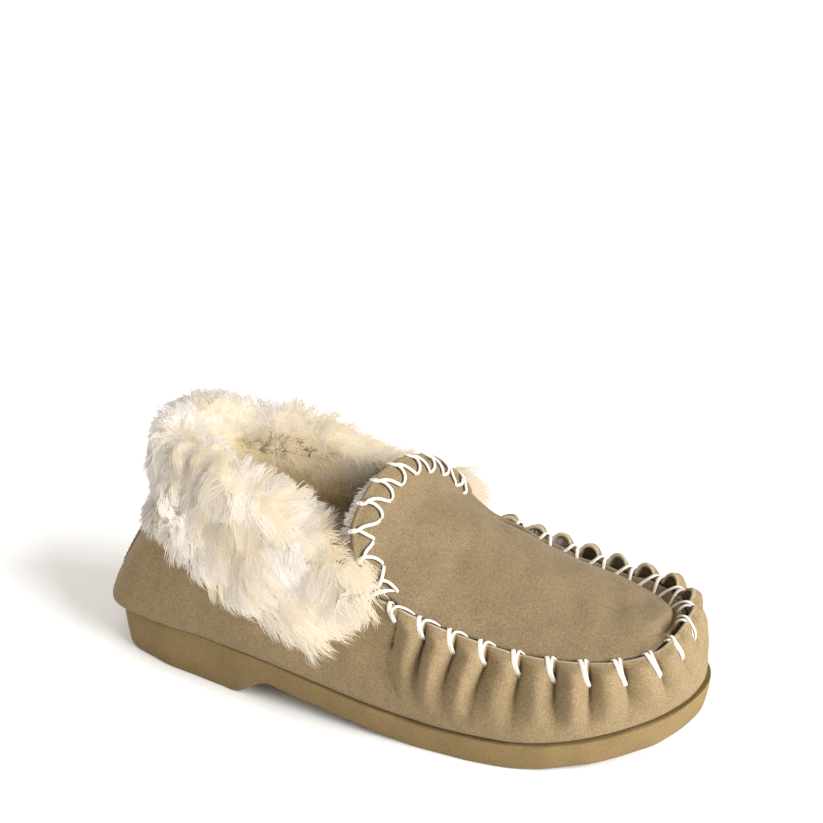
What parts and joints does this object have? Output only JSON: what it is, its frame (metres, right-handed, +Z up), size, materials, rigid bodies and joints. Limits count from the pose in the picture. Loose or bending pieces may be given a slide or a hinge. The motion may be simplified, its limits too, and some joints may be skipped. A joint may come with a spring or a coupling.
{
  "type": "sheepskin moccasin slipper",
  "caption": "Right-foot suede moccasin slipper with a gathered, lace-sewn apron, turned-out wool cuff, wool lining and a moulded sole with a raised heel block.",
  "frame": {"origin": "centre of the shoe's bounding box in plan, on the floor", "axes": "+X towards the toe, +Y towards the inner side of the foot, +Z up"},
  "size_m": [0.2618, 0.1134, 0.1082],
  "materials": {
    "sole_foam": "matte moulded foam",
    "board": "matte fibre board",
    "suede": "napped suede",
    "lining_wool": "dense short wool",
    "cuff_wool": "long fluffy wool",
    "lace": "smooth flat thong"
  },
  "bodies": {
    "shoe": {"outsole": "sole_foam", "insole_board": "board", "fleece_footbed": "lining_wool", "vamp_wrap": "suede", "back_seam": "suede", "wrap_lining": "lining_wool", "apron": "suede", "apron_lining": "lining_wool", "seam_lace": "lace", "fur_cuff": "cuff_wool"},
    "tongue": {"tongue": "suede", "tongue_lining": "lining_wool", "tongue_lace": "lace"}
  },
  "joints": [
    {"name": "tongue_lift", "type": "hinge", "parent": "shoe", "child": "tongue", "pos_m": [0.01536, 0.00063, 0.0665], "axis": [0.1129, 0.9936, 0], "range_deg": [0, 18], "stiffness_Nm_per_rad": 0.25}
  ]
}
